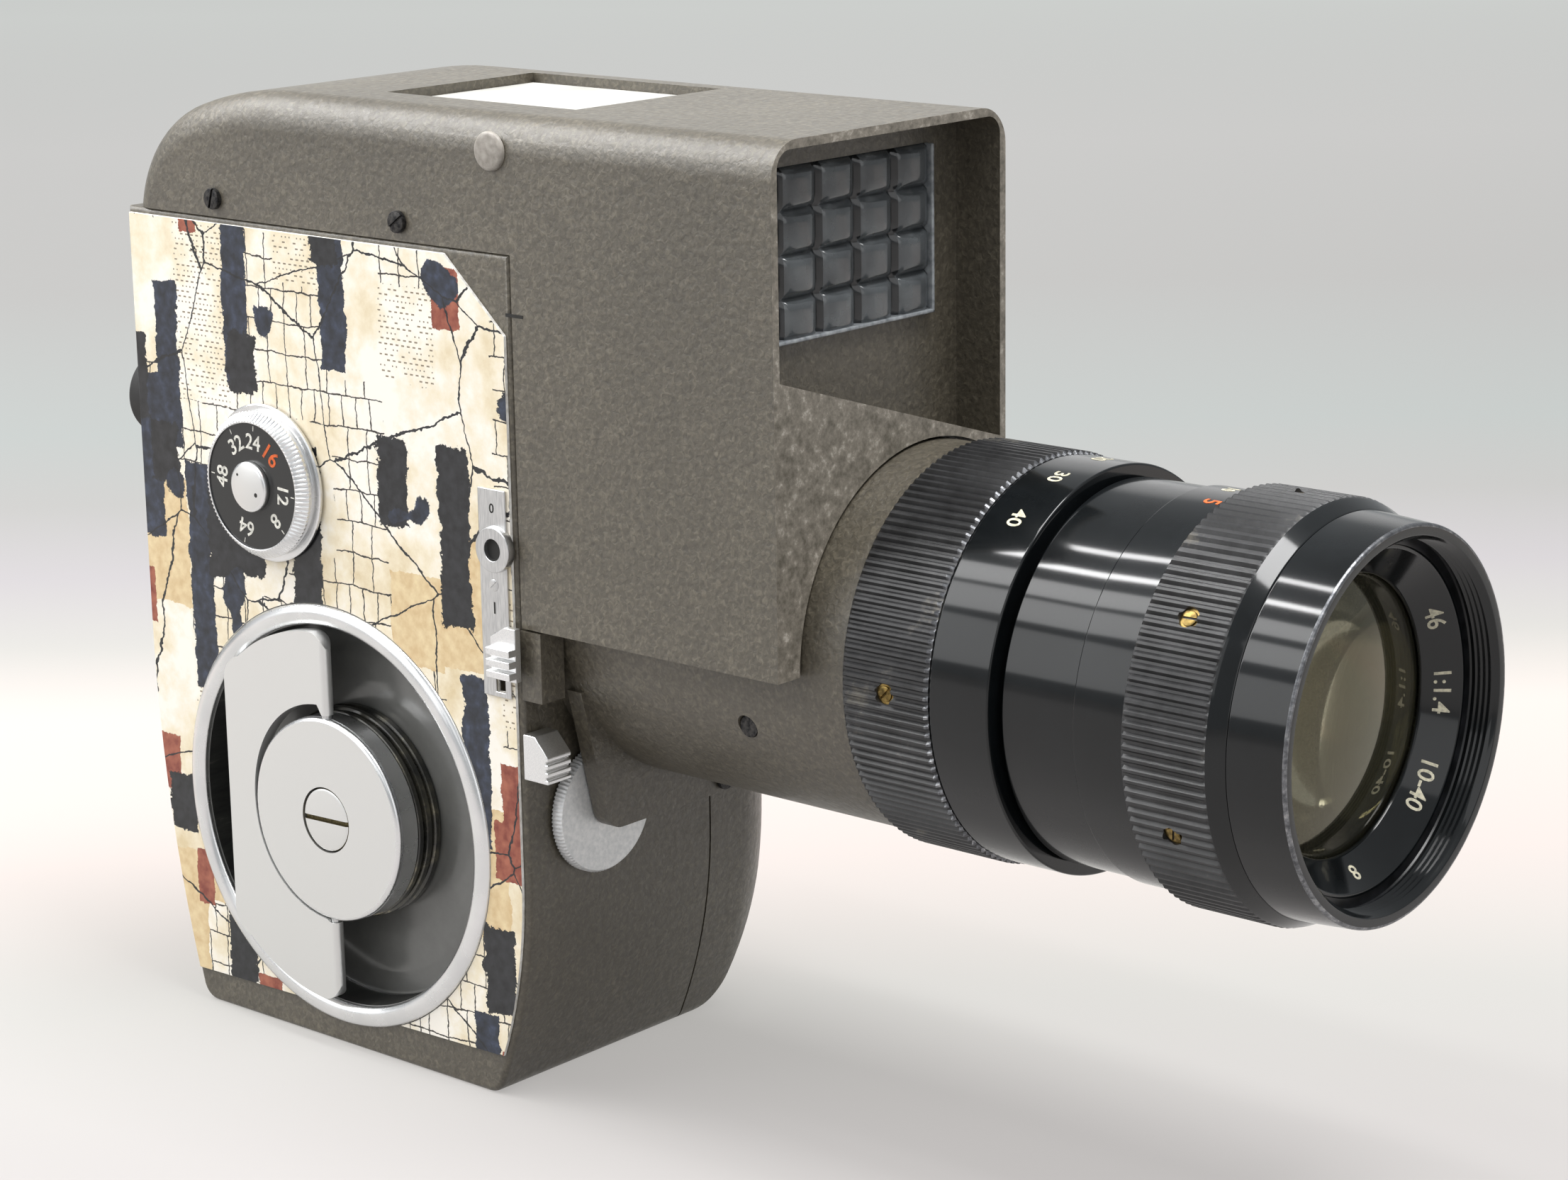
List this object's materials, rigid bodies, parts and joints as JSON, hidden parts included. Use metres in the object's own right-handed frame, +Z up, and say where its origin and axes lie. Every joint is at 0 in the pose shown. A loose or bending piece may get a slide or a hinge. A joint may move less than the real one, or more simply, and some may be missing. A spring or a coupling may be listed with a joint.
{
  "type": "movie camera",
  "caption": "Spring-wound movie camera with a reflex zoom lens, a light meter in a hood above it, a folding winding key and a hinged film door.",
  "frame": {"origin": "mouth of the tripod socket in the base, in the plane of the lens axis", "axes": "the lens looks along -Y, +Z is up, the winding side faces -X and the film door faces +X"},
  "size_m": [0.064, 0.2048, 0.1368],
  "materials": {
    "taupe_casting": "matte",
    "printed_skin": "satin",
    "satin_aluminium": "satin",
    "dark_steel": "satin",
    "satin_steel": "satin",
    "brass": "satin",
    "black_enamel": "gloss",
    "taupe_alloy": "matte",
    "black_anodised": "gloss",
    "optical_glass": "polished",
    "black_steel": "satin",
    "rubber": "matte",
    "cell_glass": "gloss",
    "window": "gloss",
    "black_plastic": "matte",
    "scale_white": "matte",
    "needle_red": "satin"
  },
  "bodies": {
    "camera": {"body_shell": "taupe_casting", "side_skin": "printed_skin", "winding_ring": "satin_aluminium", "winding_well": "dark_steel", "mechanism_plate": "brass", "control_strip": "satin_aluminium", "meter_housing": "taupe_alloy", "housing_screws": "dark_steel", "housing_plug": "rubber", "cell_glass": "cell_glass", "selenium_cell": "dark_steel", "top_window": "window", "meter_scale": "scale_white", "meter_movement": "black_plastic", "lens_base": "taupe_alloy", "lens_base_screws": "satin_steel", "lens_barrel": "black_anodised", "rear_lens_group": "black_anodised", "reflex_prism": "optical_glass", "film_gate": "satin_steel", "finder_tube": "black_anodised", "tripod_bush": "satin_steel", "hinge_pins": "satin_steel"},
    "winder": {"winding_disc": "satin_steel", "winding_collar": "dark_steel", "winding_screw": "satin_steel", "key_pins": "satin_steel", "winding_arbor": "satin_steel"},
    "key": {"winding_key": "satin_steel"},
    "barrel": {"spring_barrel": "satin_steel", "mainspring": "dark_steel"},
    "train": {"drive_gear": "brass"},
    "governor": {"governor": "brass"},
    "rate_dial": {"speed_dial": "satin_aluminium", "dial_face": "black_enamel", "dial_cap": "satin_steel"},
    "run_lever": {"run_lever": "satin_aluminium"},
    "release_key": {"release_key": "satin_aluminium"},
    "aperture_wheel": {"aperture_wheel": "satin_aluminium"},
    "iris": {"iris_ring": "black_anodised"},
    "zoom": {"zoom_ring": "black_anodised", "zoom_scale_ring": "black_anodised", "zoom_screws": "brass"},
    "variator": {"variator": "black_anodised"},
    "focus": {"focus_ring": "black_anodised", "front_ring": "black_anodised", "name_ring": "black_anodised", "front_element": "optical_glass", "focus_screws": "brass"},
    "shutter": {"shutter": "dark_steel"},
    "claw": {"film_claw": "satin_steel"},
    "pressure_plate": {"pressure_plate": "satin_steel"},
    "supply": {"supply_spool": "black_steel", "supply_spindle": "satin_steel"},
    "takeup": {"takeup_spool": "black_steel", "takeup_spindle": "satin_steel"},
    "door": {"film_door": "taupe_casting"},
    "latch": {"door_latch": "satin_steel"},
    "needle": {"meter_needle": "needle_red"},
    "eyepiece": {"eyepiece_ring": "black_anodised"}
  },
  "joints": [
    {"name": "wind", "type": "hinge", "parent": "camera", "child": "winder", "pos_m": [-0.03, 0.01825, 0.0347], "axis": [1, 0, 0], "continuous": true},
    {"name": "key_fold", "type": "hinge", "parent": "winder", "child": "key", "pos_m": [-0.0319, 0.01825, 0.0347], "axis": [0, 0, 1], "range_deg": [0, 90]},
    {"name": "barrel_turn", "type": "hinge", "parent": "camera", "child": "barrel", "pos_m": [-0.017, 0.01825, 0.0347], "axis": [1, 0, 0], "continuous": true},
    {"name": "train_turn", "type": "hinge", "parent": "camera", "child": "train", "pos_m": [-0.017, -0.00363, 0.06416], "axis": [1, 0, 0], "continuous": true},
    {"name": "governor_turn", "type": "hinge", "parent": "camera", "child": "governor", "pos_m": [-0.017, 0.00645, 0.07424], "axis": [1, 0, 0], "continuous": true},
    {"name": "rate_dial", "type": "hinge", "parent": "camera", "child": "rate_dial", "pos_m": [-0.032, 0.0289, 0.08205], "axis": [1, 0, 0], "range_deg": [-150, 150]},
    {"name": "run_lever", "type": "slide", "parent": "camera", "child": "run_lever", "axis": [0, 0, 1], "range_m": [-0.003, 0], "stiffness_N_per_m": 200},
    {"name": "release_key", "type": "slide", "parent": "camera", "child": "release_key", "axis": [0, 0, 1], "range_m": [-0.0025, 0], "stiffness_N_per_m": 200},
    {"name": "aperture_wheel", "type": "hinge", "parent": "camera", "child": "aperture_wheel", "pos_m": [-0.0172, -0.0208, 0.0404], "axis": [0, 1, 0], "range_deg": [-100, 100]},
    {"name": "iris_turn", "type": "hinge", "parent": "camera", "child": "iris", "pos_m": [0, -0.0516, 0.06885], "axis": [0, 1, 0], "range_deg": [-30, 30]},
    {"name": "zoom_turn", "type": "hinge", "parent": "camera", "child": "zoom", "pos_m": [0, -0.079, 0.06885], "axis": [0, 1, 0], "range_deg": [0, 90]},
    {"name": "variator_slide", "type": "slide", "parent": "camera", "child": "variator", "axis": [0, 1, 0], "range_m": [-0.012, 0]},
    {"name": "focus_turn", "type": "hinge", "parent": "camera", "child": "focus", "pos_m": [0, -0.122, 0.06885], "axis": [0, 1, 0], "range_deg": [0, 270]},
    {"name": "shutter_turn", "type": "hinge", "parent": "camera", "child": "shutter", "pos_m": [-0.011, -0.016, 0.06885], "axis": [0, 1, 0], "continuous": true},
    {"name": "claw_slide", "type": "slide", "parent": "camera", "child": "claw", "axis": [0, 0, 1], "range_m": [0, 0.0038]},
    {"name": "pressure_plate", "type": "slide", "parent": "camera", "child": "pressure_plate", "axis": [0, 1, 0], "range_m": [0, 0.0015], "stiffness_N_per_m": 150},
    {"name": "supply_turn", "type": "hinge", "parent": "camera", "child": "supply", "pos_m": [0.004, 0.0242, 0.0879], "axis": [1, 0, 0], "continuous": true},
    {"name": "takeup_turn", "type": "hinge", "parent": "camera", "child": "takeup", "pos_m": [0.004, 0.0242, 0.0331], "axis": [1, 0, 0], "continuous": true},
    {"name": "door_swing", "type": "hinge", "parent": "camera", "child": "door", "pos_m": [0.00645, 0.06, 0.0625], "axis": [0, 0, 1], "range_deg": [0, 110]},
    {"name": "latch_turn", "type": "hinge", "parent": "door", "child": "latch", "pos_m": [0.024, 0.002, 0.0625], "axis": [1, 0, 0], "range_deg": [0, 90]},
    {"name": "needle_swing", "type": "hinge", "parent": "camera", "child": "needle", "pos_m": [-0.005, 0.008, 0.1315], "axis": [0, 0, 1], "range_deg": [-25, 15]},
    {"name": "eyepiece_turn", "type": "hinge", "parent": "camera", "child": "eyepiece", "pos_m": [-0.018, 0.062, 0.0885], "axis": [0, 1, 0], "range_deg": [-90, 90]}
  ],
  "couplings": [
    {"joint": "train_turn", "follows": "barrel_turn", "ratio": -3},
    {"joint": "governor_turn", "follows": "barrel_turn", "ratio": 8.625},
    {"joint": "shutter_turn", "follows": "barrel_turn", "ratio": 9},
    {"joint": "takeup_turn", "follows": "barrel_turn", "ratio": 1},
    {"joint": "iris_turn", "follows": "aperture_wheel", "ratio": -0.3},
    {"joint": "variator_slide", "follows": "zoom_turn", "m_per_rad": -0.0076394}
  ]
}
